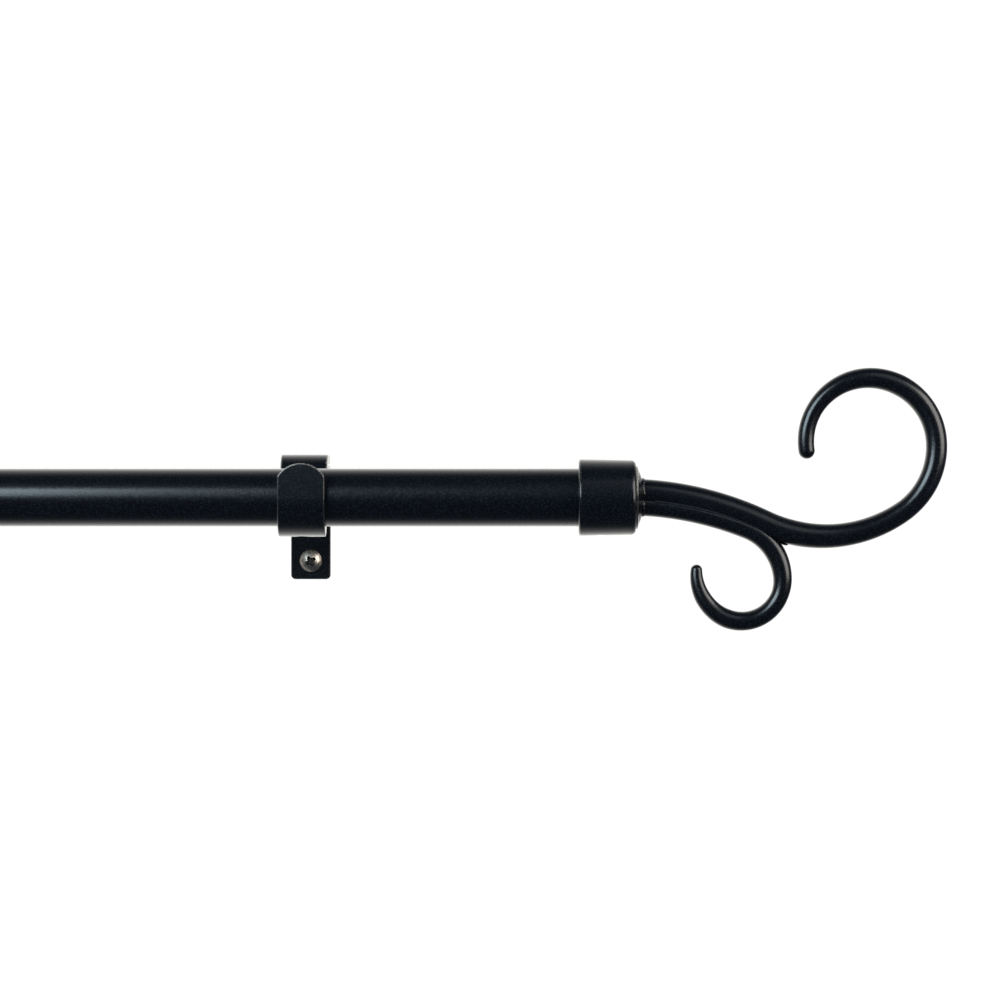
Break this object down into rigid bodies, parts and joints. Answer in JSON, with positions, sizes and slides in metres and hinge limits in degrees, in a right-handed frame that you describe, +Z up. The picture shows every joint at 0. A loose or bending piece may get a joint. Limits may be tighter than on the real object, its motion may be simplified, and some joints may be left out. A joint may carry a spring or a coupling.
{
  "type": "curtain rod",
  "caption": "Telescoping black metal curtain rod on U-cradle wall brackets that adjust in projection, with slip-over collars and double-scroll finials that turn.",
  "frame": {"origin": "on the wall face of the right-hand bracket's plate, midway between its two screws", "axes": "+X along the rod towards the right-hand finial, +Y into the wall, +Z up"},
  "size_m": [0.9176, 0.1173, 0.0891],
  "materials": {
    "black_coat": "satin black powder coat, finely textured",
    "wall_screw_nickel": "warm nickel plate, polished",
    "zinc": "bright zinc plate",
    "nylon": "black nylon"
  },
  "bodies": {
    "wall": {"wall_plate_right": "black_coat", "wall_screws_right": "wall_screw_nickel", "wall_plate_left": "black_coat", "wall_screws_left": "wall_screw_nickel"},
    "cradle_right": {"cradle_right": "black_coat"},
    "cradle_left": {"cradle_left": "black_coat"},
    "pole": {"outer_tube": "black_coat", "tube_bush": "nylon"},
    "inner_pole": {"inner_tube": "black_coat", "inner_guide": "nylon"},
    "collar_right": {"collar_right": "black_coat"},
    "collar_left": {"collar_left": "black_coat", "reducer_left": "nylon"},
    "finial_right": {"flange_right": "black_coat", "main_scroll_right": "black_coat", "small_scroll_right": "black_coat"},
    "finial_left": {"flange_left": "black_coat", "main_scroll_left": "black_coat", "small_scroll_left": "black_coat"},
    "cradle_screw_right": {"cradle_screw_right": "zinc"},
    "clamp_screw_right": {"clamp_screw_right": "zinc", "clamp_washer_right": "zinc"},
    "collar_screw_right": {"collar_screw_right": "zinc"},
    "cradle_screw_left": {"cradle_screw_left": "zinc"},
    "clamp_screw_left": {"clamp_screw_left": "zinc", "clamp_washer_left": "zinc"},
    "collar_screw_left": {"collar_screw_left": "zinc"}
  },
  "joints": [
    {"name": "projection_right", "type": "slide", "parent": "wall", "child": "cradle_right", "axis": [0, -1, 0], "range_m": [0, 0.009]},
    {"name": "projection_left", "type": "slide", "parent": "wall", "child": "cradle_left", "axis": [0, -1, 0], "range_m": [0, 0.009]},
    {"name": "rod_lift", "type": "slide", "parent": "cradle_right", "child": "pole", "axis": [0, 0, 1], "range_m": [0, 0.04]},
    {"name": "rod_extend", "type": "slide", "parent": "pole", "child": "inner_pole", "axis": [-1, 0, 0], "range_m": [-0.02, 0.46]},
    {"name": "collar_right_pull", "type": "slide", "parent": "pole", "child": "collar_right", "axis": [1, 0, 0], "range_m": [0, 0.03]},
    {"name": "collar_left_pull", "type": "slide", "parent": "inner_pole", "child": "collar_left", "axis": [-1, 0, 0], "range_m": [0, 0.03]},
    {"name": "finial_right_turn", "type": "hinge", "parent": "collar_right", "child": "finial_right", "pos_m": [0.11, -0.072, 0.01], "axis": [1, 0, 0], "range_deg": [-180, 180]},
    {"name": "finial_left_turn", "type": "hinge", "parent": "collar_left", "child": "finial_left", "pos_m": [-0.59, -0.072, 0.01], "axis": [1, 0, 0], "range_deg": [-180, 180]},
    {"name": "cradle_screw_right_turn", "type": "hinge", "parent": "cradle_right", "child": "cradle_screw_right", "pos_m": [0, -0.072, -0.002], "axis": [0, 0, 1], "range_deg": [0, 720]},
    {"name": "clamp_screw_right_turn", "type": "hinge", "parent": "cradle_right", "child": "clamp_screw_right", "pos_m": [0, -0.038, 0.018], "axis": [0, 0, 1], "range_deg": [0, 720]},
    {"name": "collar_screw_right_turn", "type": "hinge", "parent": "collar_right", "child": "collar_screw_right", "pos_m": [0.101, -0.072, -0.001], "axis": [0, 0, 1], "range_deg": [0, 720]},
    {"name": "cradle_screw_left_turn", "type": "hinge", "parent": "cradle_left", "child": "cradle_screw_left", "pos_m": [-0.48, -0.072, -0.002], "axis": [0, 0, 1], "range_deg": [0, 720]},
    {"name": "clamp_screw_left_turn", "type": "hinge", "parent": "cradle_left", "child": "clamp_screw_left", "pos_m": [-0.48, -0.038, 0.018], "axis": [0, 0, 1], "range_deg": [0, 720]},
    {"name": "collar_screw_left_turn", "type": "hinge", "parent": "collar_left", "child": "collar_screw_left", "pos_m": [-0.581, -0.072, -0.001], "axis": [0, 0, 1], "range_deg": [0, 720]}
  ],
  "couplings": [
    {"joint": "projection_left", "follows": "projection_right", "ratio": 1}
  ]
}
